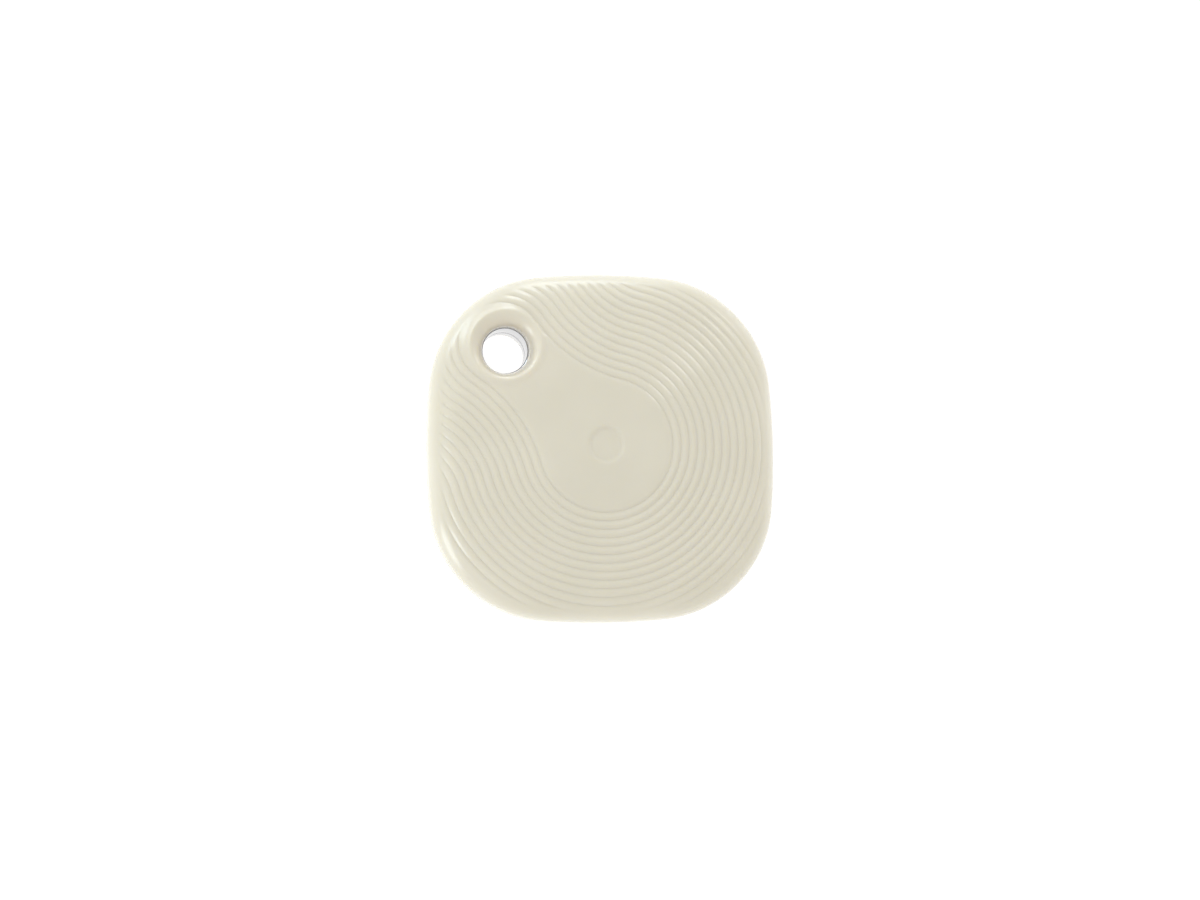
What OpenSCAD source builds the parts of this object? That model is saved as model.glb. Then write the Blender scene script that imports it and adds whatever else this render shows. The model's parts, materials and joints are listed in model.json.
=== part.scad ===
// Key-ring tracker tag: a rounded-square pebble with a metal-lined corner hole.
// The tag lies on its back. +Z leaves the ridged face, and the hole is at -X +Y.
// Lengths are in millimetres, and heights are measured from the back face.

/* [Housing] */
// Side length of the rounded square
tag_w = 39.1; // [38.6:0.1:40]
// Thickness over the middle of the domed face
tag_t = 9.9; // [9.9:0.05:10.2]
// Radius of the outline's corners
corner_r = 14.5; // [14.2:0.1:14.8]
// Radius of the front face's dome
dome_r = 131; // [125:1:160]
// Wall thickness of both covers
wall = 1.3; // [1.2:0.05:1.35]
// Height of the middle of the seam between the covers
seam_z = 5.0; // [4.95:0.05:5.05]
// How far the front cover travels when it is pressed
press_travel = 0.3; // [0.2:0.05:0.3]

/* [Key-ring hole] */
// Distance of the hole's axis from each centre plane
hole_xy = 10.8; // [10.6:0.1:11]
// Inner radius of the metal eyelet bush
bush_bore_r = 2.5; // [2.2:0.05:2.55]
// Wall thickness of the bush
bush_wall = 0.6; // [0.4:0.05:0.6]
// Radius of the rounded mouth that leads into the hole
mouth_r = 1.8; // [1.6:0.1:1.9]

/* [Coin cell] */
// Diameter of the coin cell
cell_d = 20; // [19.8:0.1:20]
// Thickness of the coin cell
cell_t = 3.2; // [3:0.1:3.2]
// Offset of the cell's axis from the centre, away from the hole
cell_off = 1.5; // [1.3:0.1:1.7]

/* [Circuit board] */
// Thickness of the circuit board
board_t = 0.8; // [0.6:0.1:0.8]
// Diameter of the buzzer's brass plate
buzzer_d = 14; // [13:0.5:14]

/* [Hidden] */
$fn = 96;
cream = [0.87, 0.85, 0.78];
white_plastic = [0.9, 0.9, 0.88];
steel = [0.78, 0.78, 0.8];
gold = [0.85, 0.68, 0.32];
board_green = [0.08, 0.3, 0.18];
black = [0.1, 0.1, 0.11];
tan_ceramic = [0.66, 0.52, 0.38];
far = 60;
nip = 0.01;
eps = 0.2;

// Outline: four corner arcs, centred corner_c from each centre plane, and straight sides
half_w = tag_w / 2;
corner_c = half_w - corner_r;

// Edge arcs of the two covers, as centre distance from the outline, height and radius
front_arc_in = 4.6;
front_arc_z = 4.6;
front_arc_r = 4.75;
rear_arc_in = 3.9;
rear_arc_z = 4.1;
rear_arc_r = 4.2;

// Seam
seam_gap = press_travel + 0.1;
rear_rim_z = seam_z - seam_gap / 2;
front_rim_z = seam_z + seam_gap / 2;

// Hole, bush and its collar
slide_gap = 0.08;
bush_r = bush_bore_r + bush_wall;
bush_z0 = 1.35;
bush_z1 = 6.95;
collar_r = bush_r + 0.9;
collar_z = 3.2;
collar_t = 0.6;
boss_r = 4.6;
passage_r = bush_bore_r + 0.12;
ledge_z = bush_z1 + press_travel + 0.1;
mouth_z = 7.1;
rear_boss_z = 1.95;

// Stack of the inner parts
pad_t = 0.3;
cell_z = wall - 0.1 + pad_t;
cell_r = cell_d / 2;
cell_top = cell_z + cell_t;
web_z = cell_top + 0.05;
web_t = 0.6;
board_z = web_z + web_t;
board_top = board_z + board_t;
floor_z = 1.2;
cover_boss_z = board_z + press_travel + 0.1;

// Carrier
carrier_in = wall + 0.2;
carrier_wall = 1.0;
carrier_z0 = 3.0;
ring_gap = 0.15;
ring_wall = 0.9;
ring_z0 = 2.0;
window_r = 7.2;
seal_z0 = seam_z - 0.4;
seal_h = 0.65;
seal_in = wall + 0.1;
seal_w = 0.6;

// Snap legs of the front cover and snap tabs of the rear cover
leg_in = 3.0;
leg_t = 0.8;
leg_w = 3;
leg_z0 = 4.1;
leg_z1 = 8.2;
barb = 0.3;
slot_gap = 0.3;
tab_w = 3;
tab_t = 0.7;
tab_z1 = 4.5;
tab_y = 4;
bead_r = 0.2;

// Circuit board and what is soldered on it
board_in = carrier_in + carrier_wall + 0.1;
stake_r = 0.7;
stake_head_r = 1.15;
stake_head_h = 0.35;
stakes = [[12, 12], [-12, -12], [-4, -14.2]];
solder = 0.02;
switch_w = 4.4;
switch_h = 0.8;
plunger_r = 1.0;
plunger_h = 0.3;
plunger_top = board_top + switch_h + plunger_h;
pad_gap = 0.02;
press_pad_r = 1.6;
press_pad_h = 0.35;
press_post_r = 2.2;
buzzer_x = 7.7;
ring_h = 0.5;
plate_h = 0.2;
mark_r = 2.1;
mark_depth = 0.15;

// Sweeps a profile round the whole outline. Its x runs outwards from the corner centres.
module around_outline() {
    for (turn = [0:3]) rotate([0, 0, 90 * turn]) {
        translate([corner_c, corner_c, 0]) rotate_extrude(angle = 90) children();
        translate([corner_c, 0, 0]) rotate([90, 0, 0])
            linear_extrude(height = 2 * corner_c, center = true) children();
    }
}

// The square middle, which the swept profile leaves open
module core(z0, z1) {
    translate([-corner_c, -corner_c, z0]) cube([2 * corner_c, 2 * corner_c, z1 - z0]);
}

// A flat slab with the outline's shape, set in by inset
module slab(inset, z, h) {
    around_outline() translate([0, z]) square([corner_r - inset, h]);
    core(z, z + h);
}

// A rim that follows the outline, from inset to inset + w
module rim(inset, w, z, h) {
    difference() {
        slab(inset, z, h);
        slab(inset + w, z - eps, h + 2 * eps);
    }
}

// The inside of a rounded edge: full depth up to the arc's centre, then the arc
module edge_profile(inset, z0, z1, arc_in, arc_z, arc_r) {
    arc_x = corner_r - arc_in;
    translate([0, z0]) square([arc_x, z1 - z0]);
    intersection() {
        translate([arc_x - eps, z0]) square([arc_in - inset + eps, z1 - z0]);
        translate([arc_x, arc_z]) circle(arc_r - inset);
    }
}

// Everything inside the front cover's outer face, or inside a face set in by inset
module front_form(inset, z0) {
    z1 = tag_t - inset;
    intersection() {
        union() {
            around_outline()
                edge_profile(inset, z0, z1, front_arc_in, front_arc_z, front_arc_r);
            core(z0, z1);
        }
        translate([0, 0, tag_t - dome_r]) sphere(dome_r - inset, $fn = 256);
    }
}

module rear_form(inset, z0, z1) {
    around_outline() edge_profile(inset, z0, z1, rear_arc_in, rear_arc_z, rear_arc_r);
    core(z0, z1);
}

// Places children on the hole's axis
module at_hole() {
    translate([-hole_xy, hole_xy, 0]) children();
}

// Places children on the cell's axis
module at_cell() {
    translate([cell_off, -cell_off, 0]) children();
}

// Places children on the buzzer's axis
module at_buzzer() {
    translate([buzzer_x, -buzzer_x, 0]) children();
}

// A round tube standing on z
module tube(outer, inner, z, h) {
    difference() {
        translate([0, 0, z]) cylinder(r = outer, h = h);
        translate([0, 0, z - eps]) cylinder(r = inner, h = h + 2 * eps);
    }
}

// A box centred on x and y, standing on z
module block(x, y, z, size) {
    translate([x - size[0] / 2, y - size[1] / 2, z]) cube(size);
}

// The space that a rounded mouth clears above the hole
module mouth_cut() {
    rotate_extrude() difference() {
        translate([0, mouth_z]) square([passage_r + mouth_r, tag_t]);
        translate([passage_r + mouth_r, mouth_z]) circle(mouth_r);
    }
}

// A box on each side, from inset to inset + depth, shift away from the side's middle
module on_sides(inset, depth, width, z, h, shift) {
    for (turn = [0:3]) rotate([0, 0, 90 * turn])
        translate([half_w - inset - depth, shift - width / 2, z]) cube([depth, width, h]);
}

module front_cover() {
    color(cream) difference() {
        union() {
            difference() {
                front_form(0, front_rim_z);
                front_form(wall, front_rim_z - eps);
            }
            at_hole() translate([0, 0, cover_boss_z])
                cylinder(r = boss_r, h = ledge_z + 0.7 - cover_boss_z);
            translate([0, 0, plunger_top + pad_gap + press_pad_h])
                cylinder(r = press_post_r, h = tag_t - wall - plunger_top);
            on_sides(leg_in, leg_t, leg_w, leg_z0, leg_z1 - leg_z0, 0);
            on_sides(leg_in - barb, barb + nip, leg_w, leg_z0, web_z - 0.05 - leg_z0, 0);
        }
        at_hole() translate([0, 0, front_rim_z - eps])
            cylinder(r = bush_r + slide_gap, h = ledge_z - front_rim_z + eps);
        at_hole() translate([0, 0, front_rim_z]) cylinder(r = passage_r, h = far);
        at_hole() mouth_cut();
        translate([0, 0, tag_t - mark_depth]) cylinder(r = mark_r, h = far);
    }
}

module rear_cover() {
    color(cream) difference() {
        union() {
            difference() {
                rear_form(0, 0, rear_rim_z);
                rear_form(wall, floor_z, rear_rim_z + eps);
            }
            at_hole() translate([0, 0, floor_z - eps])
                cylinder(r = boss_r - 0.2, h = rear_boss_z - floor_z + eps);
            on_sides(wall - eps, tab_t + eps, tab_w, floor_z, tab_z1 - floor_z, tab_y);
            for (turn = [0:3]) rotate([0, 0, 90 * turn])
                translate([half_w - wall - tab_t, tab_y, tab_z1 - 2 * bead_r])
                    rotate([90, 0, 0]) cylinder(r = bead_r, h = tab_w - 1, center = true);
        }
        at_hole() translate([0, 0, bush_z0 - slide_gap])
            cylinder(r = bush_r + slide_gap, h = far);
        at_hole() translate([0, 0, -eps]) cylinder(r = passage_r, h = far);
        at_hole() translate([0, 0, -nip])
            cylinder(r1 = passage_r + 0.6, r2 = passage_r, h = 0.6);
        rotate([0, 0, -135]) translate([-2.5, corner_c * sqrt(2) + corner_r - 0.6, rear_rim_z - 0.5])
            cube([5, 2, 1]);
    }
}

module press_pad() {
    color(black) translate([0, 0, plunger_top + pad_gap])
        cylinder(r = press_pad_r, h = press_pad_h);
}

module inner_carrier() {
    color(white_plastic) difference() {
        union() {
            rim(carrier_in, carrier_wall, carrier_z0, board_z - carrier_z0);
            slab(carrier_in + carrier_wall / 2, web_z, web_t);
            at_cell() tube(cell_r + ring_gap + ring_wall, cell_r + ring_gap, ring_z0,
                web_z + eps - ring_z0);
            at_hole() translate([0, 0, rear_boss_z + 0.05])
                cylinder(r = boss_r - 0.4, h = board_z - rear_boss_z - 0.05);
            at_hole() translate([0, 0, carrier_z0])
                cylinder(r = boss_r, h = board_z - carrier_z0);
            for (p = stakes) translate([p[0], p[1], web_z]) {
                cylinder(r = stake_r, h = web_t + board_t + stake_head_h);
                translate([0, 0, web_t + board_t + solder])
                    cylinder(r = stake_head_r, h = stake_head_h);
            }
        }
        at_hole() cylinder(r = bush_r, h = far);
        at_hole() translate([0, 0, collar_z]) cylinder(r = collar_r, h = collar_t);
        at_cell() translate([0, 0, web_z - eps]) cylinder(r = window_r, h = 2);
        rim(seal_in, seal_w, seal_z0, far);
        on_sides(leg_in - barb - 0.1, leg_t + barb + slot_gap, leg_w + 2 * slot_gap,
            web_z - eps, 2, 0);
        on_sides(wall, tab_t + bead_r + 0.4, tab_w + 0.8, carrier_z0 - eps,
            tab_z1 + 0.3 + eps - carrier_z0, tab_y);
        block(cell_off + cell_r + 0.9, -cell_off, ring_z0 - eps, [3, 4.6, far]);
    }
}

module eyelet_bush() {
    color(steel) at_hole() difference() {
        union() {
            translate([0, 0, bush_z0]) cylinder(r = bush_r, h = bush_z1 - bush_z0);
            translate([0, 0, collar_z]) cylinder(r = collar_r, h = collar_t);
        }
        translate([0, 0, bush_z0 - eps])
            cylinder(r = bush_bore_r, h = bush_z1 - bush_z0 + 2 * eps);
    }
}

module perimeter_seal() {
    color([0.55, 0.54, 0.5]) rim(seal_in, seal_w, seal_z0, seal_h);
}

module circuit_board() {
    color(board_green) difference() {
        slab(board_in, board_z, board_t);
        at_hole() translate([0, 0, board_z - eps]) cylinder(r = boss_r + 0.6, h = 2);
        translate([-far - hole_xy, hole_xy, board_z - eps]) cube([far, far, 2]);
        for (p = stakes) translate([p[0], p[1], board_z - eps])
            cylinder(r = stake_r + 0.05, h = 2);
        on_sides(0, leg_in + leg_t + slot_gap, leg_w + 2 * slot_gap, board_z - eps, 2, 0);
    }
}

module radio_chip() {
    color(black) block(-7.5, -5.5, board_top, [6, 6, 0.85]);
}

module crystals() {
    color(steel) {
        block(-7.5, -10.6, board_top, [2.5, 2, 0.6]);
        block(-12.6, -5.5, board_top, [1.2, 3.2, 0.75]);
    }
}

module chip_antenna() {
    color(white_plastic) block(7.5, 13.4, board_top, [5, 2, 0.9]);
}

module capacitors() {
    color(tan_ceramic) {
        for (i = [0:4]) block(-10.4 + 1.6 * i, -0.9, board_top, [0.8, 1.6, 0.7]);
        for (i = [0:2]) block(2.6 + 1.6 * i, 10.2, board_top, [0.8, 1.6, 0.7]);
        block(11.6, 6.4, board_top, [3.2, 2.5, 1]);
    }
}

module resistors() {
    color(black) {
        for (i = [0:3]) block(-3.2, -8.6 - 1.5 * i + 3, board_top, [1.6, 0.8, 0.4]);
        for (i = [0:2]) block(7.4 + 1.6 * i, 10.2, board_top, [0.8, 1.6, 0.4]);
    }
}

module boost_coil() {
    color([0.25, 0.25, 0.26]) block(7, 4.2, board_top, [3, 3, 1]);
}

module test_pads() {
    color(gold) for (i = [0:4]) translate([-4.6 + 2.1 * i, 14.4, board_top])
        cylinder(r = 0.7, h = 0.05);
}

module switch_body() {
    color(black) difference() {
        block(0, 0, board_top, [switch_w, switch_w, switch_h - 0.15]);
        translate([0, 0, board_top + 0.2]) cylinder(r = plunger_r + 0.3, h = 2);
    }
}

module switch_frame() {
    color(steel) difference() {
        block(0, 0, board_top + switch_h - 0.15, [switch_w, switch_w, 0.15]);
        translate([0, 0, board_top]) cylinder(r = plunger_r + 0.08, h = 2);
    }
}

module switch_plunger() {
    plunger_z = board_top + 0.2 + press_travel + 0.02;
    color(white_plastic) translate([0, 0, plunger_z])
        cylinder(r = plunger_r, h = plunger_top - plunger_z);
}

module buzzer_ring() {
    color(black) at_buzzer() tube(buzzer_d / 2, buzzer_d / 2 - 1, board_top, ring_h);
}

module buzzer_plate() {
    color(gold) at_buzzer() translate([0, 0, board_top + ring_h])
        cylinder(r = buzzer_d / 2, h = plate_h);
}

module buzzer_ceramic() {
    color(white_plastic) at_buzzer() translate([0, 0, board_top + ring_h + plate_h])
        cylinder(r = buzzer_d / 2 - 2.2, h = plate_h);
}

// Two short wires that step from the buzzer down to the board beside it
module buzzer_leads() {
    lead_r = 0.15;
    lead_z = board_top + ring_h + 2 * plate_h + lead_r;
    color([0.75, 0.12, 0.1]) for (side = [0, 1]) mirror([side, side, 0])
        translate([buzzer_x - 2.2, -buzzer_x + 8.2, 0]) {
            translate([0, 0, board_top]) cylinder(r = lead_r, h = lead_z - board_top);
            translate([0, 0, lead_z]) sphere(lead_r);
            translate([0, 0, lead_z]) rotate([90, 0, 0]) cylinder(r = lead_r, h = 4.2);
        }
}

// Leaf contact on the board's underside: a soldered foot and two sprung fingers
module negative_contact() {
    leaf = 0.15;
    finger_l = 4.6;
    drop = 6.0;
    color(gold) at_cell() {
        block(0, 0, board_z - leaf, [3, 6, leaf]);
        for (side = [0, 1]) mirror([side, 0, 0])
            translate([1.4, 0, board_z - leaf]) rotate([0, drop, 0])
                translate([0, -1, 0]) cube([finger_l, 2, leaf]);
    }
}

// Upright contact that bears on the cell's rim, with a soldered foot
module positive_contact() {
    leaf = 0.2;
    color(gold) at_cell() {
        translate([cell_r + 0.05, -1.5, ring_z0 + 0.4])
            cube([leaf, 3, board_z - ring_z0 - 0.4]);
        translate([cell_r + 0.05, -1.5, board_z - leaf]) cube([1.8, 3, leaf]);
    }
}

module cell_pad() {
    color([0.3, 0.3, 0.31]) at_cell() translate([0, 0, floor_z]) cylinder(r = 6, h = pad_t);
}

module cell_can() {
    can_h = cell_t - 0.3;
    color(steel) at_cell() difference() {
        translate([0, 0, cell_z]) cylinder(r = cell_r, h = can_h);
        translate([0, 0, cell_z + 0.25]) cylinder(r = cell_r - 0.3, h = far);
    }
}

module cell_core() {
    color(black) at_cell() translate([0, 0, cell_z + 0.25])
        cylinder(r = cell_r - 0.85, h = cell_t - 0.5);
}

module cell_gasket() {
    color([0.2, 0.25, 0.35]) at_cell()
        tube(cell_r - 0.3, cell_r - 0.6, cell_z + 0.25, cell_t - 0.55);
}

module cell_cap() {
    color(steel) at_cell() difference() {
        translate([0, 0, cell_z + 0.25]) cylinder(r = cell_r - 0.6, h = cell_t - 0.25);
        translate([0, 0, cell_z]) cylinder(r = cell_r - 0.85, h = cell_t - 0.25);
    }
}

rear_cover();
front_cover();
press_pad();
inner_carrier();
eyelet_bush();
perimeter_seal();
circuit_board();
radio_chip();
crystals();
chip_antenna();
capacitors();
resistors();
boost_coil();
test_pads();
switch_body();
switch_frame();
switch_plunger();
buzzer_ring();
buzzer_plate();
buzzer_ceramic();
buzzer_leads();
negative_contact();
positive_contact();
cell_pad();
cell_can();
cell_core();
cell_gasket();
cell_cap();
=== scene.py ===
"""Key-ring tracker tag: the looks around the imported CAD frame.

The tag lies on its back, +Z out of the ridged face, with its hole at -X +Y.
Lengths below are in millimetres in the frame's axes, and meshes are stored in metres.
"""
import json
import math

import bmesh
import bpy
import numpy as np
from mathutils import Matrix, Vector
from mathutils.geometry import delaunay_2d_cdt


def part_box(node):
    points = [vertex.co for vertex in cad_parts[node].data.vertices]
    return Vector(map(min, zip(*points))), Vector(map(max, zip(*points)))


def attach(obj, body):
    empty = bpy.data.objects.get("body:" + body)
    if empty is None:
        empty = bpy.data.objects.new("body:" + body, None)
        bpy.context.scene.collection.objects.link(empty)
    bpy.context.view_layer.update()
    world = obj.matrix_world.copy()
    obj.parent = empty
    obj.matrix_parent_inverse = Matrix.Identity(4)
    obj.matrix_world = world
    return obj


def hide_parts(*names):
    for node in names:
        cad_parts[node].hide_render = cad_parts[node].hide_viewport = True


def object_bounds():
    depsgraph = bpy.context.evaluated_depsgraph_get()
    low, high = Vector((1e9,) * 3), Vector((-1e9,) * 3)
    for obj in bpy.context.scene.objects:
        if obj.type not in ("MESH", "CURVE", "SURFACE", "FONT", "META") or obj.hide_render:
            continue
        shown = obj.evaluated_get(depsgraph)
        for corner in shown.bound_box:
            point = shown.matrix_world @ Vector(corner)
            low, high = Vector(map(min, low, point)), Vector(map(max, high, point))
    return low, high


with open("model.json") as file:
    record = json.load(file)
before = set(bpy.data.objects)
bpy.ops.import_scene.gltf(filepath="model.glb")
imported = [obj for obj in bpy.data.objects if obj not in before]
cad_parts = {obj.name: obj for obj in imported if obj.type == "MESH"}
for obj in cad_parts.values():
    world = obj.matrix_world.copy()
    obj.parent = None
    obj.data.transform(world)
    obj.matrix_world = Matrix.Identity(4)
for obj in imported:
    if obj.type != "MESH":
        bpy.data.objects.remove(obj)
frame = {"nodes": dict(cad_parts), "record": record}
cad_low, cad_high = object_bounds()
MM = 0.001

# --- Sizes taken from the frame -------------------------------------------------------------
MOUNTS = {m["name"]: m for m in frame["record"]["mounts"]}
HOLE = np.array(MOUNTS["keyring_hole"]["pos_m"][:2]) / MM
BORE_R = MOUNTS["keyring_hole"]["dims"]["r_mm"]
HALF_W = cad_high.x / MM
TOP_Z = 9.9
REAR_RIM_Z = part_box("rear_cover")[1].z / MM
SEAM = 0.4
FRONT_RIM_Z = REAR_RIM_Z + SEAM
BUSH_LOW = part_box("eyelet_bush")[0].z / MM
BUSH_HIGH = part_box("eyelet_bush")[1].z / MM

# --- Outline: corner arcs and slightly bowed sides that meet at common tangents ---------------
SIDE_R = 80.0
CORNER_R = 13.6
SIDE_C = SIDE_R - HALF_W
ARM = SIDE_R - CORNER_R
CORNER_C = (math.sqrt(2 * ARM ** 2 - SIDE_C ** 2) - SIDE_C) / 2
SIDE_ANGLE = math.atan2(CORNER_C, CORNER_C + SIDE_C)

# --- Walls of both covers, and the clearance of their holes round the bush ----------------------
WALL = 1.3
BUSH_WALL = 0.6
SEAT_R = BORE_R + BUSH_WALL + 0.08
ROUND_N = 96

# --- Front face: the dome, its rounded border and its ridges ------------------------------------
DOME_R = 131.0
EDGE_BAND = 4.2
EDGE_POWER = 2.3
FRONT_EDGE_Z = 5.7
PITCH = 0.931
GROOVE_DEPTH = 0.14
GROOVE_POWER = 1.1
GROOVES = 16
FADE_FROM = 1.0
FADE_TO = 1.9

# --- The smooth zone: a circle, a ring round the hole, and two concave arcs that join them ------
DROP_C = np.array([0.0, 0.0])
DROP_R = 7.51
RING_C = np.array([-11.45, 11.45])
RING_R = 4.62
NECK_R = {-1: 16.3, 1: 18.0}
MARK_R = 2.1
MARK_DEPTH = 0.15
MARK_SOFT = (MARK_R - 0.45, MARK_R + 0.05)

# --- The mouth of the hole and the raised lip round it ------------------------------------------
LIP_C = np.array([-10.92, 11.2])
LIP_R = 3.95
LIP_RISE = 0.13
LIP_SPREAD = 0.42
LIP_LEVEL = 9.25
LIP_LEVELLING = 0.22
MOUTH_R = BORE_R + 0.14
MOUTH_Z = BUSH_HIGH + 0.42
MOUTH_POWER = 1.75

# --- Rows of points that the front face's mesh is made from -------------------------------------
BORDER_ROWS = 15
MOUTH_ROWS = 23
MOUTH_N = 128
LOOSE_STEP = 0.6
RIDGE_STEP = 0.33
# points closer than this become one
MERGE = 1e-7


def outline(inset, step=0.4):
    """Points round the outline, set in by inset; the count doesn't depend on inset."""
    side_n = round(2 * SIDE_ANGLE * SIDE_R / step)
    corner_n = round((math.pi / 2 - 2 * SIDE_ANGLE) * CORNER_R / step)
    points = []
    for turn in range(4):
        arcs = (((-SIDE_C, 0), SIDE_R, -SIDE_ANGLE, SIDE_ANGLE, side_n),
                ((CORNER_C, CORNER_C), CORNER_R, SIDE_ANGLE, math.pi / 2 - SIDE_ANGLE, corner_n))
        c, s = math.cos(turn * math.pi / 2), math.sin(turn * math.pi / 2)
        for centre, radius, start, end, count in arcs:
            angles = start + (end - start) * np.arange(count) / count
            x = centre[0] + (radius - inset) * np.cos(angles)
            y = centre[1] + (radius - inset) * np.sin(angles)
            points.append(np.stack([c * x - s * y, s * x + c * y], 1))
    return np.vstack(points)


def depth_inside(p):
    """Distance of points from the outline, positive inside."""
    x, y = np.abs(p[:, 0]), np.abs(p[:, 1])
    right = SIDE_R - np.hypot(x + SIDE_C, y)
    top = SIDE_R - np.hypot(x, y + SIDE_C)
    corner = CORNER_R - np.hypot(x - CORNER_C, y - CORNER_C)
    in_right = np.arctan2(y, x + SIDE_C) <= SIDE_ANGLE
    in_top = np.arctan2(x, y + SIDE_C) <= SIDE_ANGLE
    sides = np.minimum(np.where(in_right, right, np.inf), np.where(in_top, top, np.inf))
    return np.where(in_right | in_top, sides, corner)


def neck_centre(side):
    """Centre of the concave arc that joins the middle zone to the ring round the hole."""
    along = RING_C - DROP_C
    length = np.hypot(*along)
    along = along / length
    across = np.array([-along[1], along[0]])
    r1, r2 = DROP_R + NECK_R[side], RING_R + NECK_R[side]
    x = (r1 ** 2 - r2 ** 2 + length ** 2) / (2 * length)
    return DROP_C + along * x + side * across * math.sqrt(r1 ** 2 - x ** 2)


def contour_distance(p):
    """Distance of points outside the drop-shaped smooth zone, negative inside it."""
    along = RING_C - DROP_C
    across = np.array([-along[1], along[0]])
    result = np.zeros(len(p))
    for side in (-1, 1):
        f = neck_centre(side)
        to_drop, to_ring, to_p = DROP_C - f, RING_C - f, p - f
        turn = np.sign(to_drop[0] * to_ring[1] - to_drop[1] * to_ring[0])
        past_drop = turn * (to_drop[0] * to_p[:, 1] - to_drop[1] * to_p[:, 0]) < 0
        past_ring = turn * (to_p[:, 0] * to_ring[1] - to_p[:, 1] * to_ring[0]) < 0
        here = NECK_R[side] - np.hypot(*to_p.T)
        here = np.where(past_drop, np.hypot(*(p - DROP_C).T) - DROP_R, here)
        here = np.where(past_ring & ~past_drop, np.hypot(*(p - RING_C).T) - RING_R, here)
        mine = ((p - DROP_C) @ across >= 0) == (side > 0)
        result = np.where(mine, here, result)
    return result


def contour(offset, step):
    """The closed curve at that distance outside the smooth zone, as evenly spaced points."""
    f_minus, f_plus = neck_centre(-1), neck_centre(1)
    arcs = []

    def arc(centre, radius, start, end, clockwise=False):
        a0 = math.atan2(*(start - centre)[::-1])
        a1 = math.atan2(*(end - centre)[::-1])
        span = (a1 - a0) % (2 * math.pi)
        if clockwise:
            span -= 2 * math.pi
        count = max(2, round(abs(span) * abs(radius) / step))
        angles = a0 + span * np.arange(count) / count
        arcs.append(centre + radius * np.stack([np.cos(angles), np.sin(angles)], 1))

    arc(DROP_C, DROP_R + offset, f_plus, f_minus)
    arc(f_minus, NECK_R[-1] - offset, DROP_C, RING_C, clockwise=True)
    arc(RING_C, RING_R + offset, f_minus, f_plus)
    arc(f_plus, NECK_R[1] - offset, RING_C, DROP_C, clockwise=True)
    return np.vstack(arcs)


def smoothstep(low, high, x):
    """Rises smoothly from 0 at low to 1 at high."""
    t = np.clip((x - low) / (high - low), 0, 1)
    return t * t * (3 - 2 * t)


def edge_curve(t, power=EDGE_POWER):
    """Superellipse quarter: 0 at the outline with an upright tangent, 1 and level at t = 1."""
    return (1 - (1 - np.clip(t, 0, 1)) ** power) ** (1 / power)


def dome(p):
    """Height of the face's plain dome, which its crests touch."""
    return TOP_Z - (p ** 2).sum(1) / (2 * DOME_R)


def ridges(p):
    """Relief of the contour ridges: soft grooves between rounded crests, faded at the border."""
    s = contour_distance(p) / PITCH
    crest = np.abs(np.sin(math.pi * s)) ** GROOVE_POWER
    cut = np.where(s > -0.5, 1 - crest, 0)
    return -GROOVE_DEPTH * cut * smoothstep(FADE_FROM, FADE_TO, depth_inside(p))


def mark(p):
    """A plain shallow thumb dimple in the middle of the smooth zone."""
    r = np.hypot(*p.T)
    return -MARK_DEPTH * (1 - smoothstep(*MARK_SOFT, r))


def face(p):
    """The domed face with its rounded border, without relief."""
    rise = edge_curve(depth_inside(p) / EDGE_BAND)
    return FRONT_EDGE_Z + (dome(p) - FRONT_EDGE_Z) * rise


def lip(p):
    """The raised rim round the mouth of the hole. It stands proudest on the corner's side."""
    offset = p - LIP_C
    distance = np.maximum(np.hypot(*offset.T), 1e-9)
    crest = LIP_C + offset * (LIP_R / distance)[:, None]
    rise = LIP_RISE + LIP_LEVELLING * (LIP_LEVEL - face(crest))
    away = np.maximum(distance - LIP_R, 0)
    return rise * np.exp(-(away / LIP_SPREAD) ** 2)


def front_height(p):
    """Height of the finished face."""
    return face(p) + ridges(p) + mark(p) + lip(p)


# --- Mesh helpers -------------------------------------------------------------------------------
def circle(centre, radius, count):
    """Points round a circle, in plan."""
    a = 2 * math.pi * np.arange(count) / count
    return np.asarray(centre) + radius * np.stack([np.cos(a), np.sin(a)], 1)


def at_height(points, z):
    """Plan points with a height, or with one height each."""
    return np.column_stack([points, np.broadcast_to(z, len(points))])


def make_object(name, verts, faces):
    """A new mesh object in the scene, from points in millimetres."""
    mesh = bpy.data.meshes.new(name)
    mesh.from_pydata((np.asarray(verts) * MM).tolist(), [], faces)
    mesh.validate()
    obj = bpy.data.objects.new(name, mesh)
    bpy.context.scene.collection.objects.link(obj)
    return obj


def bridge(a, b, count):
    """Quads between two closed loops of count points that start at indices a and b."""
    return [(a + i, a + (i + 1) % count, b + (i + 1) % count, b + i) for i in range(count)]


def loft(name, loops, closed=False):
    """A solid through closed loops of equal counts, capped at both ends or joined to itself."""
    count = len(loops[0])
    verts = np.vstack(loops)
    faces = []
    for k in range(len(loops) - 1):
        faces += bridge(k * count, (k + 1) * count, count)
    last = (len(loops) - 1) * count
    if closed:
        faces += bridge(last, 0, count)
    else:
        faces += [tuple(reversed(range(count))), tuple(last + i for i in range(count))]
    return make_object(name, verts, faces)


def lathe(name, centre, profile, count=ROUND_N):
    """Turns a closed profile of (radius, z) points round an upright axis through centre."""
    loops = [at_height(circle(centre, r, count), z) for r, z in profile]
    return loft(name, loops, closed=True)


def rod(name, centre, radius, z_low, z_high):
    """An upright round solid."""
    ring = circle(centre, radius, ROUND_N)
    return loft(name, [at_height(ring, z_low), at_height(ring, z_high)])


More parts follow.
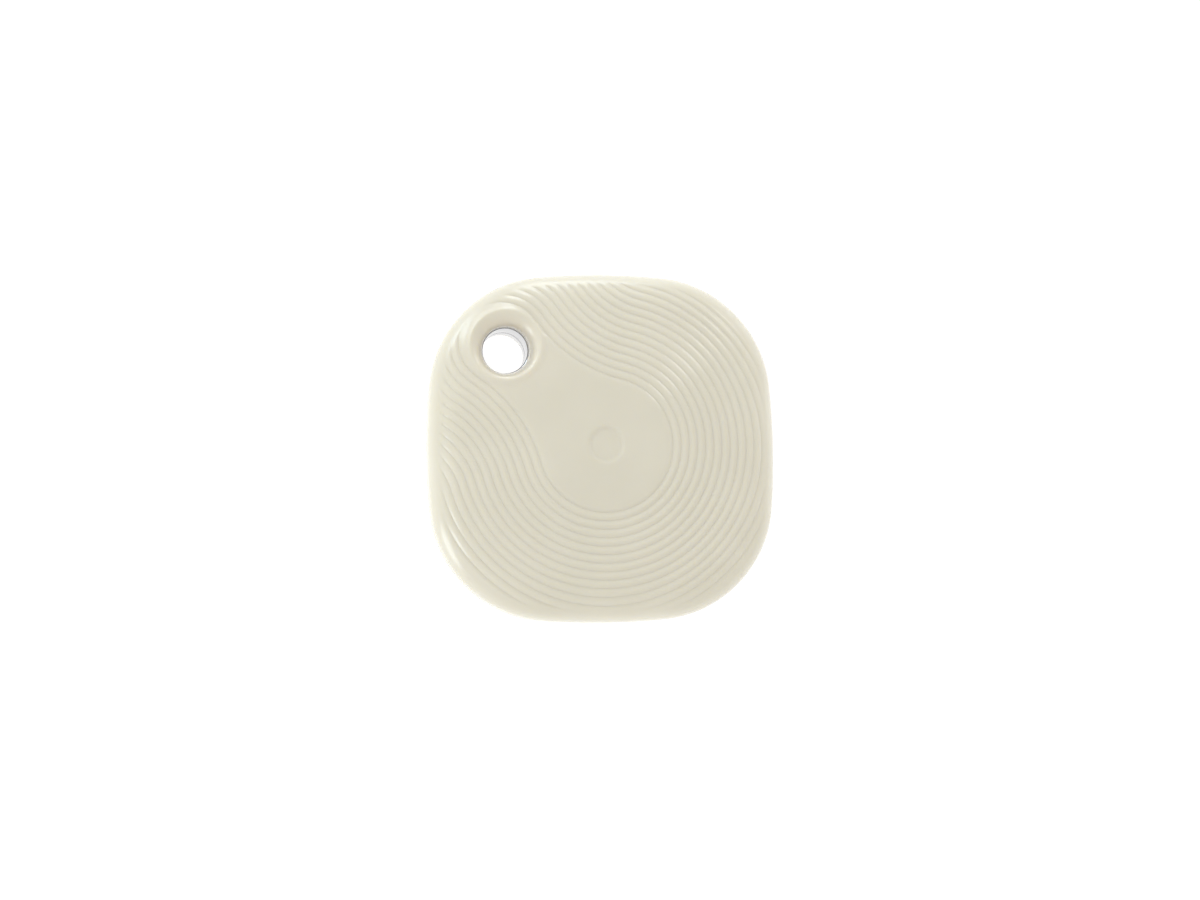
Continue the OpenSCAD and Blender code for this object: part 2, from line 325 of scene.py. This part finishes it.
def rounded_box(name, low, high, bevel):
    """A box between two corners, with its edges rounded."""
    bm = bmesh.new()
    bmesh.ops.create_cube(bm, size=1)
    low, high = np.asarray(low, float), np.asarray(high, float)
    for v in bm.verts:
        v.co = Vector((low + high) / 2 * MM) + Vector(np.array(v.co) * (high - low) * MM)
    bmesh.ops.bevel(bm, geom=bm.edges[:], offset=bevel * MM, segments=3, affect="EDGES", profile=0.5)
    mesh = bpy.data.meshes.new(name)
    bm.to_mesh(mesh)
    bm.free()
    obj = bpy.data.objects.new(name, mesh)
    bpy.context.scene.collection.objects.link(obj)
    return obj


def turned(obj, angle):
    """Turns an object's mesh about the frame's Z axis."""
    c, s = math.cos(angle), math.sin(angle)
    for v in obj.data.vertices:
        x, y, z = v.co
        v.co = (c * x - s * y, s * x + c * y, z)
    return obj


def combine(base, tool, operation):
    """Adds or cuts away tool, which is used up.

    If either isn't watertight, Blender only prints a warning and base stays as it is.
    """
    modifier = base.modifiers.new("combine", "BOOLEAN")
    modifier.object, modifier.operation, modifier.solver = tool, operation, "MANIFOLD"
    bpy.context.view_layer.update()
    evaluated = base.evaluated_get(bpy.context.evaluated_depsgraph_get())
    mesh = bpy.data.meshes.new_from_object(evaluated)
    base.modifiers.clear()
    base.data = mesh
    bpy.data.objects.remove(tool)
    return base


def outward(obj):
    """Makes every face look outwards."""
    bm = bmesh.new()
    bm.from_mesh(obj.data)
    bmesh.ops.recalc_face_normals(bm, faces=bm.faces)
    bm.to_mesh(obj.data)
    bm.free()
    return obj


def shade(obj, sharp_degrees=45):
    """Smooth shading that keeps edges sharper than the angle crisp."""
    bm = bmesh.new()
    bm.from_mesh(obj.data)
    bmesh.ops.remove_doubles(bm, verts=bm.verts, dist=1e-7)
    bmesh.ops.dissolve_degenerate(bm, dist=1e-8, edges=bm.edges)
    limit = math.radians(sharp_degrees)
    for polygon in bm.faces:
        polygon.smooth = True
    for edge in bm.edges:
        edge.smooth = len(edge.link_faces) == 2 and edge.calc_face_angle(0) < limit
    bm.to_mesh(obj.data)
    bm.free()
    return obj


# --- Front cover --------------------------------------------------------------------------------
def inner_ceiling_loops(z_low, inset, edge_z, ceiling, band):
    """Loops of a cavity: up its wall, round its inner edge and in to the middle."""
    loops = [at_height(outline(inset), z_low)]
    for t in np.linspace(0, 1, 9):
        line = outline(inset + band * t)
        top = ceiling(line)
        loops.append(at_height(line, edge_z + (top - edge_z) * edge_curve(t)))
    last = outline(inset + band)
    for share in (0.75, 0.5, 0.25, 0.02):
        line = last * share
        loops.append(at_height(line, ceiling(line)))
    return loops


def smooth_zone_points(step):
    """Loose points on a square grid inside the smooth zone, clear of its dimple and the lip."""
    line = np.arange(-HALF_W, HALF_W, step)
    grid = np.stack(np.meshgrid(line, line), -1).reshape(-1, 2)
    inside = contour_distance(grid) < -1.5 - step / 2
    clear = (np.hypot(*grid.T) > MARK_R + 0.5) & (np.hypot(*(grid - LIP_C).T) > LIP_R + 1.3)
    return grid[inside & clear]


def front_skin_rows():
    """Rows of plan points for the front face, each closed or open, and each row's heights."""
    rows = []
    # the rounded border
    for k in range(BORDER_ROWS):
        inset = FADE_FROM * (1 - math.cos(k / (BORDER_ROWS - 1) * math.pi / 2))
        rows.append((outline(inset), True, None))
    # the mouth of the hole, from its lip down to the bore
    top = front_height(circle(LIP_C, LIP_R, MOUTH_N))
    for k in range(MOUTH_ROWS):
        q = 1 - k / (MOUTH_ROWS - 1)
        centre = HOLE + (LIP_C - HOLE) * q
        ring = circle(centre, MOUTH_R + (LIP_R - MOUTH_R) * q, MOUTH_N)
        rise = edge_curve(q, MOUTH_POWER)
        rows.append((ring, True, MOUTH_Z + (top - MOUTH_Z) * rise))
    # the raised rim round the mouth
    for away in (0.12, 0.26, 0.42, 0.6, 0.8, 1.05):
        rows.append((circle(LIP_C, LIP_R + away, MOUTH_N), True, None))
    # the smooth zone and its dimple
    for offset in (-1.5, -0.9):
        rows.append((contour(offset, LOOSE_STEP), True, None))
    rows.append((smooth_zone_points(LOOSE_STEP), False, None))
    for r in np.linspace(0.3, MARK_R + 0.3, 12):
        rows.append((circle(DROP_C, r, 48), True, None))
    # the ridges: rows crowd towards each groove
    shares = (-0.36, -0.22, -0.13, -0.07, -0.03, 0, 0.03, 0.07, 0.13, 0.22, 0.36, 0.5)
    for groove in range(GROOVES):
        for share in shares:
            rows.append((contour((groove + share) * PITCH, RIDGE_STEP), True, None))
    return rows


def kept_points(number, row):
    """Which points of a row stay: all of the border and the mouth, and the rest between them."""
    if number < BORDER_ROWS + MOUTH_ROWS:
        return np.ones(len(row), bool)
    inside = depth_inside(row) > FADE_FROM + 0.08
    clear = np.hypot(*(row - LIP_C).T) > LIP_R + 0.05
    return inside & clear


def gathered_rows():
    """The kept points of all rows with their heights, and the edges along the rows."""
    points, edges, heights = [], [], []
    start = 0
    for number, (row, closed, height) in enumerate(front_skin_rows()):
        keep = kept_points(number, row)
        index = np.cumsum(keep) - 1 + start
        for i in range(len(row) if closed else 0):
            j = (i + 1) % len(row)
            if keep[i] and keep[j]:
                edges.append((int(index[i]), int(index[j])))
        row = row[keep]
        heights.append(front_height(row) if height is None else height)
        points.append(row)
        start += len(row)
    return np.vstack(points), np.concatenate(heights), edges


def front_skin():
    """Vertices and triangles of the front face, and the index runs of its rim and bore."""
    plan, z, edges = gathered_rows()
    out = delaunay_2d_cdt([Vector(p) for p in plan.tolist()], edges, [], 0, MERGE, True)
    flat = np.array([tuple(v) for v in out[0]])
    origin = [o[0] if o else -1 for o in out[3]]
    # where two rows cross, the triangulation adds a point, which has no height yet
    made = np.array([z[o] if o >= 0 else np.nan for o in origin])
    missing = np.isnan(made)
    if missing.any():
        made[missing] = front_height(flat[missing])
    # the triangles over the bore go, but slivers between three points of its edge pass this test
    triangles = np.array(out[2])
    middle = flat[triangles].mean(1)
    open_r = MOUTH_R * math.cos(math.pi / MOUTH_N) * 0.999
    triangles = triangles[np.hypot(*(middle - HOLE).T) > open_r]
    back = {o: i for i, o in enumerate(origin) if o >= 0}
    rim_count = len(outline(0))
    rim = [back[i] for i in range(rim_count)]
    bore_start = BORDER_ROWS * rim_count + (MOUTH_ROWS - 1) * MOUTH_N
    bore = [back[bore_start + i] for i in range(MOUTH_N)]
    return np.column_stack([flat, made]), triangles, rim, bore


def front_block():
    """The front cover as a solid block under its face, with the hole right through.

    The slivers that front_skin leaves along the bore's edge keep it from being watertight.
    """
    verts, triangles, rim, bore = front_skin()
    faces = [tuple(int(i) for i in t) for t in triangles]
    verts = list(map(tuple, verts))
    # the side wall, down to the rounded edge at the seam
    n = len(rim)
    previous = rim
    for inset, above in ((0, 0.25), (0, 0.15), (0.04, 0.04), (0.15, 0)):
        base = len(verts)
        verts += list(map(tuple, at_height(outline(inset), FRONT_RIM_Z + above)))
        current = [base + i for i in range(n)]
        for i in range(n):
            j = (i + 1) % n
            faces.append((previous[j], previous[i], current[i], current[j]))
        previous = current
    # the bore, and the flat underside between it and the edge
    m = len(bore)
    base = len(verts)
    verts += list(map(tuple, at_height(circle(HOLE, MOUTH_R, m), FRONT_RIM_Z)))
    foot = [base + i for i in range(m)]
    faces += [(bore[i], bore[(i + 1) % m], foot[(i + 1) % m], foot[i]) for i in range(m)]
    plan = [Vector(verts[i][:2]) for i in previous + foot]
    loops = [(i, (i + 1) % n) for i in range(n)] + [(n + i, n + (i + 1) % m) for i in range(m)]
    under = delaunay_2d_cdt(plan, loops, [], 0, MERGE, True)
    ids = previous + foot
    where = [ids[o[0]] for o in under[3]]
    for t in under[2]:
        if not all(under[3][i][0] >= n for i in t):
            faces.append(tuple(where[i] for i in reversed(t)))
    return outward(make_object("front_cover_shell", verts, faces))


def front_ceiling(line):
    """Height of the front cover's inside, one wall under the dome."""
    return dome(line) - WALL


def snap_leg(turn):
    """A leg that hangs under one side's middle, and the barb at its foot."""
    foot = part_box("front_cover")[0].z / MM
    leg = rounded_box("leg", (HALF_W - 3.8, -1.5, foot), (HALF_W - 3.0, 1.5, 8.2), 0.08)
    barb = rounded_box("barb", (HALF_W - 3.2, -1.4, foot + 0.05), (HALF_W - 2.7, 1.4, foot + 0.6), 0.1)
    return turned(leg, turn), turned(barb, turn)


def front_cover():
    """The ridged front cover.

    The steps below describe a shell with a collar round the hole, a post and four snap legs. But
    front_block isn't watertight, so none of them takes effect, and the cover stays a solid block.
    """
    collar_r, post_r = 4.6, 2.2
    cover = front_block()
    loops = inner_ceiling_loops(FRONT_RIM_Z - 0.3, WALL, FRONT_EDGE_Z, front_ceiling, EDGE_BAND - 0.6)
    cavity = outward(loft("cavity", loops))
    collar = outward(rod("collar", HOLE, collar_r, FRONT_RIM_Z + 0.4, TOP_Z))
    cavity = combine(cavity, collar, "DIFFERENCE")
    cover = combine(cover, cavity, "DIFFERENCE")
    seat = outward(rod("seat", HOLE, SEAT_R, FRONT_RIM_Z - 1, MOUTH_Z - 0.02))
    cover = combine(cover, seat, "DIFFERENCE")
    post = outward(rod("post", DROP_C, post_r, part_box("press_pad")[1].z / MM, TOP_Z - 1))
    cover = combine(cover, post, "UNION")
    for quarter in range(4):
        for piece in snap_leg(quarter * math.pi / 2):
            cover = combine(cover, piece, "UNION")
    shade(cover, 50)
    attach(cover, "press_cover")
    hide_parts("front_cover")
    return cover


# --- Rear cover ---------------------------------------------------------------------------------
REAR_EDGE_Z = 4.0
REAR_BAND = 3.8
REAR_POWER = 2.2
REAR_FLOOR = 1.2
BOSS_R = 4.4
BOSS_TOP_Z = 1.95
FLARE = 0.7


def rear_block():
    """The rear cover as a solid block: rounded edge at the seam, curved side and flat back."""
    loops = [at_height(outline(inset), REAR_RIM_Z - below)
             for inset, below in ((WALL + 0.4, 0), (0.15, 0), (0.04, 0.04), (0, 0.15), (0, 0.3))]
    for t in np.linspace(0, 1, 19):
        share = 1 - math.cos(t * math.pi / 2)
        line = outline(REAR_BAND * share)
        loops.append(at_height(line, REAR_EDGE_Z * (1 - edge_curve(share, REAR_POWER))))
    flat_edge = outline(REAR_BAND)
    loops += [at_height(flat_edge * share, 0) for share in (0.97, 0.75, 0.5, 0.25, 0.02)]
    return outward(loft("rear_cover_shell", loops))


def rear_cavity():
    """The room inside the rear cover, less the boss that stands under the bush."""
    loops = [at_height(outline(WALL), REAR_RIM_Z + 0.5)]
    for t in np.linspace(0, 1, 9):
        line = outline(WALL + (REAR_BAND - 0.6) * t)
        loops.append(at_height(line, REAR_EDGE_Z - (REAR_EDGE_Z - REAR_FLOOR) * edge_curve(t)))
    boss = outward(rod("boss", HOLE, BOSS_R, REAR_FLOOR - 0.7, BOSS_TOP_Z))
    return combine(outward(loft("cavity", loops)), boss, "DIFFERENCE")


def rear_bore():
    """The round hole in the back, which flares towards the outside."""
    bore_r = BORE_R + 0.12
    loops = [at_height(circle(HOLE, bore_r, ROUND_N), 6.0), at_height(circle(HOLE, bore_r, ROUND_N), FLARE)]
    for t in np.linspace(0, 1, 9)[1:]:
        a = t * math.pi / 2
        ring = circle(HOLE, bore_r + FLARE * (1 - math.cos(a)), ROUND_N)
        loops.append(at_height(ring, FLARE - FLARE * math.sin(a)))
    loops.append(at_height(circle(HOLE, bore_r + FLARE, ROUND_N), -0.5))
    return outward(loft("bore", loops))


def rear_cover():
    """The rear cover: a shell with a seat for the bush, four snap tabs and a pry notch."""
    shell = combine(rear_block(), rear_cavity(), "DIFFERENCE")
    seat = outward(rod("seat", HOLE, SEAT_R, BUSH_LOW - 0.08, 6))
    shell = combine(shell, seat, "DIFFERENCE")
    shell = combine(shell, rear_bore(), "DIFFERENCE")
    for quarter in range(4):
        tab = rounded_box("tab", (HALF_W - 2.0, 2.5, 1.1), (HALF_W - WALL + 0.2, 5.5, 4.5), 0.08)
        shell = combine(shell, turned(tab, quarter * math.pi / 2), "UNION")
    reach = CORNER_C * math.sqrt(2) + CORNER_R
    notch = rounded_box("notch", (reach - 0.6, -2.5, REAR_RIM_Z - 0.5), (reach + 1, 2.5, REAR_RIM_Z + 1), 0.2)
    shell = combine(shell, turned(notch, -math.pi / 4), "DIFFERENCE")
    shade(shell, 40)
    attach(shell, "back")
    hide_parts("rear_cover")
    return shell


# --- Eyelet bush --------------------------------------------------------------------------------
def rolled_lip(z, start, end):
    """Half a circle of (radius, z) points that rounds one end of the sleeve's wall."""
    lip = BUSH_WALL / 2
    return [(BORE_R + lip + lip * math.cos(t), z + lip * math.sin(t)) for t in np.linspace(start, end, 13)]


def eyelet():
    """A turned metal sleeve with rolled lips, a holding collar and a groove inside."""
    inner, outer = BORE_R, BORE_R + BUSH_WALL
    collar_low, collar_high, collar_r = 3.2, 3.8, outer + 0.9
    groove_low, groove_high, groove_r = 3.1, 3.7, inner + 0.3
    profile = rolled_lip(BUSH_HIGH - BUSH_WALL / 2, math.pi, 0)
    profile += [(outer, collar_high), (collar_r - 0.05, collar_high), (collar_r, collar_high - 0.05),
                (collar_r, collar_low + 0.05), (collar_r - 0.05, collar_low), (outer, collar_low)]
    profile += rolled_lip(BUSH_LOW + BUSH_WALL / 2, 0, -math.pi)
    profile += [(inner, groove_low), (groove_r, groove_low + 0.06),
                (groove_r, groove_high - 0.06), (inner, groove_high)]
    bush = outward(lathe("eyelet_sleeve", HOLE, profile, MOUTH_N))
    shade(bush, 40)
    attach(bush, "housing")
    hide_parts("eyelet_bush")
    return bush


# --- Materials ----------------------------------------------------------------------------------
class Nodes:
    """A short way to build one node material."""

    def __init__(self, name):
        self.material = bpy.data.materials.new(name)
        self.material.use_nodes = True
        self.tree = self.material.node_tree
        self.shader = self.tree.nodes["Principled BSDF"]
        coords = self.tree.nodes.new("ShaderNodeTexCoord")
        self.place = coords.outputs["Object"]

    def link(self, a, b):
        """Joins an output to an input."""
        self.tree.links.new(a, b)

    def stretched(self, scale):
        """The object's own coordinates, scaled along each axis."""
        node = self.tree.nodes.new("ShaderNodeMapping")
        node.inputs["Scale"].default_value = scale
        self.link(self.place, node.inputs["Vector"])
        return node.outputs["Vector"]

    def noise(self, scale, detail=3.0, vector=None):
        """Soft clouds of that scale, from 0 to 1."""
        node = self.tree.nodes.new("ShaderNodeTexNoise")
        node.inputs["Scale"].default_value = scale
        node.inputs["Detail"].default_value = detail
        node.inputs["Roughness"].default_value = 0.5
        self.link(vector or self.place, node.inputs["Vector"])
        return node.outputs["Fac"]

    def cells(self, scale):
        """Distance from the borders between cells of that scale."""
        node = self.tree.nodes.new("ShaderNodeTexVoronoi")
        node.feature = "DISTANCE_TO_EDGE"
        node.inputs["Scale"].default_value = scale
        self.link(self.place, node.inputs["Vector"])
        return node.outputs["Distance"]

    def ramp(self, value, stops):
        """Maps a value through (position, colour or grey) stops."""
        node = self.tree.nodes.new("ShaderNodeValToRGB")
        ramp = node.color_ramp
        for number, (position, colour) in enumerate(stops):
            stop = ramp.elements[number] if number < 2 else ramp.elements.new(position)
            stop.position = position
            colour = grey(colour) if isinstance(colour, (int, float)) else colour
            stop.color = (*colour, 1)
        self.link(value, node.inputs["Fac"])
        return node.outputs["Color"]

    def colour(self, value, stops):
        """Colours the surface through a ramp."""
        self.link(self.ramp(value, stops), self.shader.inputs["Base Color"])

    def roughness(self, value, low, high):
        """Varies the roughness between two values."""
        self.link(self.ramp(value, ((0.3, low), (0.7, high))), self.shader.inputs["Roughness"])

    def reach(self, centre):
        """Distance from an upright axis through centre, in metres."""
        node = self.tree.nodes.new("ShaderNodeVectorMath")
        node.operation = "DISTANCE"
        node.inputs[1].default_value = (*centre, 0)
        self.link(self.stretched((1, 1, 0)), node.inputs[0])
        return node.outputs["Value"]

    def mixed(self, share, first, second):
        """Blends two colours. The node has one set of sockets per data type, so they go by number."""
        node = self.tree.nodes.new("ShaderNodeMix")
        node.data_type = "RGBA"
        factor, colour_a, colour_b, result = node.inputs[0], node.inputs[6], node.inputs[7], node.outputs[2]
        self.link(share, factor)
        self.link(first, colour_a)
        self.link(second, colour_b)
        return result

    def bump(self, value, distance_mm, strength):
        """Raises fine grain by up to that height."""
        node = self.tree.nodes.new("ShaderNodeBump")
        node.inputs["Distance"].default_value = distance_mm * MM
        node.inputs["Strength"].default_value = strength
        self.link(value, node.inputs["Height"])
        self.link(node.outputs["Normal"], self.shader.inputs["Normal"])

    def set(self, **values):
        """Sets the shader's own sockets, with _ for a space in their names."""
        for name, value in values.items():
            self.shader.inputs[name.replace("_", " ")].default_value = value


def grey(value):
    """A colour with equal red, green and blue."""
    return (value, value, value)


def per_mm(count):
    """Texture scale for that many features in a millimetre."""
    return count / MM


def cream_plastic():
    """The covers' satin-gloss plastic, with painted light: its colour is made lighter in the mouth of the
    hole, to lift the shade on the mouth's walls.
    """
    m = Nodes("cream_plastic")
    cloud = m.noise(per_mm(0.12), 2)
    plain = m.ramp(cloud, ((0.35, (0.696, 0.656, 0.532)), (0.65, (0.718, 0.678, 0.554))))
    # painted light: a lighter copy of the cream that stands in for light on the mouth's shaded walls
    mouth_painted_lighter = m.ramp(cloud, ((0.35, (0.875, 0.785, 0.665)), (0.65, (0.895, 0.805, 0.685))))
    # mask for the painted light: full inside 3.3 mm of the hole's axis, gone at the lip
    mouth = m.ramp(m.reach(HOLE * MM), ((3.3 * MM, 1.0), (LIP_R * MM, 0.0)))
    m.link(m.mixed(mouth, plain, mouth_painted_lighter), m.shader.inputs["Base Color"])
    m.roughness(m.noise(per_mm(3), 4), 0.34, 0.42)
    m.bump(m.noise(per_mm(5), 3), 0.0006, 0.5)
    m.set(IOR=1.5, Coat_Weight=1.0, Coat_Roughness=0.2)
    m.set(Subsurface_Weight=0.5, Subsurface_Radius=(1.0, 0.9, 0.6), Subsurface_Scale=0.7 * MM)
    return m.material


def bright_metal():
    """Polished metal with fine marks that run round it."""
    m = Nodes("bright_metal")
    turned_marks = m.noise(per_mm(1), 3, m.stretched((0.15, 0.15, 18)))
    m.colour(turned_marks, ((0.3, (0.58, 0.58, 0.59)), (0.7, (0.66, 0.66, 0.67))))
    m.roughness(turned_marks, 0.12, 0.22)
    m.bump(turned_marks, 0.002, 0.4)
    m.set(Metallic=1.0)
    return m.material


def simple_plastic(name, dark, light, rough, grain=8, bump=0.002):
    """Moulded plastic, rubber or ceramic with a fine grain."""
    m = Nodes(name)
    m.colour(m.noise(per_mm(1.1), 3), ((0.3, dark), (0.7, light)))
    m.roughness(m.noise(per_mm(4), 3), rough - 0.04, rough + 0.05)
    m.bump(m.noise(per_mm(grain), 3), bump, 0.6)
    return m.material


def rolled_metal(name, dark, light, rough, stretch=(1, 14, 1)):
    """Sheet metal with fine lines along the way it was rolled."""
    m = Nodes(name)
    lines = m.noise(per_mm(0.8), 4, m.stretched(stretch))
    m.colour(lines, ((0.3, dark), (0.7, light)))
    m.roughness(lines, rough - 0.05, rough + 0.08)
    m.bump(lines, 0.0015, 0.5)
    m.set(Metallic=1.0)
    return m.material


def solder_mask():
    """Green lacquer over copper, whose tracks show as slightly lighter, raised lines."""
    m = Nodes("solder_mask")
    tracks = m.ramp(m.cells(per_mm(0.55)), ((0.10, 1.0), (0.13, 0.0)))
    m.colour(tracks, ((0.0, (0.006, 0.060, 0.028)), (1.0, (0.014, 0.120, 0.055))))
    m.bump(tracks, 0.02, 0.6)
    m.roughness(m.noise(per_mm(2), 2), 0.22, 0.3)
    return m.material


def all_looks():
    """One material for each of the record's material slots."""
    return {
        "shell": cream_plastic(),
        "carrier": simple_plastic("carrier_plastic", (0.70, 0.70, 0.67), (0.76, 0.76, 0.73), 0.5),
        "eyelet": bright_metal(),
        "seal": simple_plastic("seal_rubber", (0.20, 0.19, 0.165), (0.25, 0.24, 0.21), 0.7, 5, 0.004),
        "black_rubber": simple_plastic("black_rubber", grey(0.012), grey(0.02), 0.7, 5, 0.004),
        "solder_mask": solder_mask(),
        "chip_black": simple_plastic("moulding_compound", (0.012, 0.012, 0.013), (0.02, 0.02, 0.022),
                                     0.55, 12),
        "plated_steel": rolled_metal("plated_steel", grey(0.46), grey(0.56), 0.28),
        "white_ceramic": simple_plastic("white_ceramic", (0.66, 0.64, 0.60), (0.72, 0.71, 0.68), 0.35),
        "tan_ceramic": simple_plastic("tan_ceramic", (0.20, 0.12, 0.06), (0.27, 0.17, 0.09), 0.4),
        "ferrite": simple_plastic("ferrite", (0.02, 0.02, 0.022), (0.035, 0.035, 0.037), 0.6),
        "gold_plate": rolled_metal("gold_plate", (0.62, 0.40, 0.12), (0.72, 0.48, 0.16), 0.25),
        "brass_plate": rolled_metal("brass_plate", (0.54, 0.34, 0.11), (0.64, 0.42, 0.15), 0.3),
        "spring_contact": rolled_metal("spring_contact", (0.58, 0.40, 0.16), (0.68, 0.48, 0.20), 0.25),
        "foam": simple_plastic("closed_foam", (0.012, 0.012, 0.013), (0.03, 0.03, 0.032), 0.85, 3, 0.03),
        "lead_red": simple_plastic("red_enamel", (0.26, 0.010, 0.008), (0.34, 0.014, 0.010), 0.3),
        "cell_steel": rolled_metal("cell_steel", (0.50, 0.50, 0.51), (0.60, 0.60, 0.61), 0.26, (1, 10, 1)),
        "cell_fill": simple_plastic("pressed_powder", grey(0.008), grey(0.015), 0.9, 6, 0.01),
        "cell_gasket": simple_plastic("cell_ring", (0.010, 0.014, 0.04), (0.016, 0.020, 0.055), 0.45),
    }


def paint_cad_nodes(looks):
    """Gives every CAD node the material of its slot."""
    slots = {s["node"]: s["material_slot"] for s in frame["record"]["subparts"]}
    for name, obj in frame["nodes"].items():
        obj.data.materials.clear()
        obj.data.materials.append(looks[slots[name]])
        shade_cad(obj)


def shade_cad(obj):
    """Smooth curved faces of a CAD node without touching its points."""
    mesh = obj.data
    mesh.polygons.foreach_set("use_smooth", [True] * len(mesh.polygons))
    mesh.update()


# --- Stage --------------------------------------------------------------------------------------
FLOOR_Z = -0.05
FLOOR_HALF_SIZE = 1500
FLOOR_GLOW = 0.92
SKY_STRENGTH = 0.90
WHITE = (1.0, 1.0, 1.0)
COOL = (0.86, 0.94, 1.0)
COOLER = (0.72, 0.88, 1.0)
LIGHTS = {
    "top_softbox": {"place": (0, 580, 115), "size": 260, "power": 0.52, "colour": COOL},
    "corner_softbox": {"place": (-400, 400, 190), "size": 240, "power": 0.50, "colour": COOLER},
    "left_softbox": {"place": (-560, -260, 105), "size": 260, "power": 0.70, "colour": COOL},
    "right_disk": {"place": (385, 360, 275), "size": 110, "power": 0.16, "colour": WHITE},
}


def floor_material():
    """A pale floor that glows softly, so that it stays even and takes no hard shadow."""
    m = Nodes("pale_floor")
    m.colour(m.noise(per_mm(0.02), 2), ((0.3, grey(0.29)), (0.7, grey(0.32))))
    m.set(Roughness=0.8, Emission_Color=(*WHITE, 1), Emission_Strength=FLOOR_GLOW)
    see_through_from_below(m)
    m.material.cycles.emission_sampling = "NONE"
    return m.material


def see_through_from_below(m):
    """Makes a one-sided floor, so the back of the tag can be looked at from underneath."""
    nodes = m.tree.nodes
    side = nodes.new("ShaderNodeNewGeometry")
    clear = nodes.new("ShaderNodeBsdfTransparent")
    mix = nodes.new("ShaderNodeMixShader")
    m.link(side.outputs["Backfacing"], mix.inputs[0])
    m.link(m.shader.outputs[0], mix.inputs[1])
    m.link(clear.outputs[0], mix.inputs[2])
    m.link(mix.outputs[0], nodes["Material Output"].inputs["Surface"])


def floor():
    """A flat square floor just under the tag's back."""
    a, z = FLOOR_HALF_SIZE, FLOOR_Z
    plane = make_object("floor", [(-a, -a, z), (a, -a, z), (a, a, z), (-a, a, z)], [(0, 1, 2, 3)])
    plane.data.materials.append(floor_material())


def sky():
    """An even white tent all round."""
    world = bpy.data.worlds.new("studio")
    world.use_nodes = True
    background = world.node_tree.nodes["Background"]
    background.inputs["Color"].default_value = (*WHITE, 1)
    background.inputs["Strength"].default_value = SKY_STRENGTH
    bpy.context.scene.world = world
    # white stays white, and the cream isn't dulled
    bpy.context.scene.view_settings.view_transform = "Standard"


def area_light(name, place, size, power, colour):
    """A round softbox that faces the tag."""
    data = bpy.data.lights.new(name, "AREA")
    data.shape, data.size, data.energy, data.color = "DISK", size * MM, power, colour
    light = bpy.data.objects.new(name, data)
    light.location = Vector(place) * MM
    light.rotation_euler = (-Vector(place)).to_track_quat("-Z", "Y").to_euler()
    bpy.context.scene.collection.objects.link(light)


def camera():
    """The camera looks down from a little left of and below the middle of the face."""
    left, below, roll = math.radians(7.61), math.radians(5.25), math.radians(-0.9)
    distance, lens = 271.5, 72.5
    away = Vector((-math.sin(left) * math.cos(below), -math.sin(below), math.cos(left) * math.cos(below)))
    data = bpy.data.cameras.new("camera")
    data.lens, data.sensor_width = lens, 36
    data.shift_x, data.shift_y = -1 / 2400, -1 / 800
    data.clip_start, data.clip_end = 0.01, 10
    obj = bpy.data.objects.new("camera", data)
    target = Vector((0, 0, TOP_Z / 2))
    obj.location = (target + away * distance) * MM
    level = (-away).cross(Vector((0, 1, 0))).normalized()
    upright = level.cross(-away)
    right = level * math.cos(roll) + upright * math.sin(roll)
    up = upright * math.cos(roll) - level * math.sin(roll)
    obj.rotation_euler = Matrix((right, up, away)).transposed().to_euler()
    bpy.context.scene.collection.objects.link(obj)
    bpy.context.scene.camera = obj


camera()
floor()
sky()
for name, light in LIGHTS.items():
    area_light(name, **light)
looks = all_looks()
paint_cad_nodes(looks)
for piece in (front_cover(), rear_cover()):
    piece.data.materials.clear()
    piece.data.materials.append(looks["shell"])
eyelet().data.materials.append(looks["eyelet"])
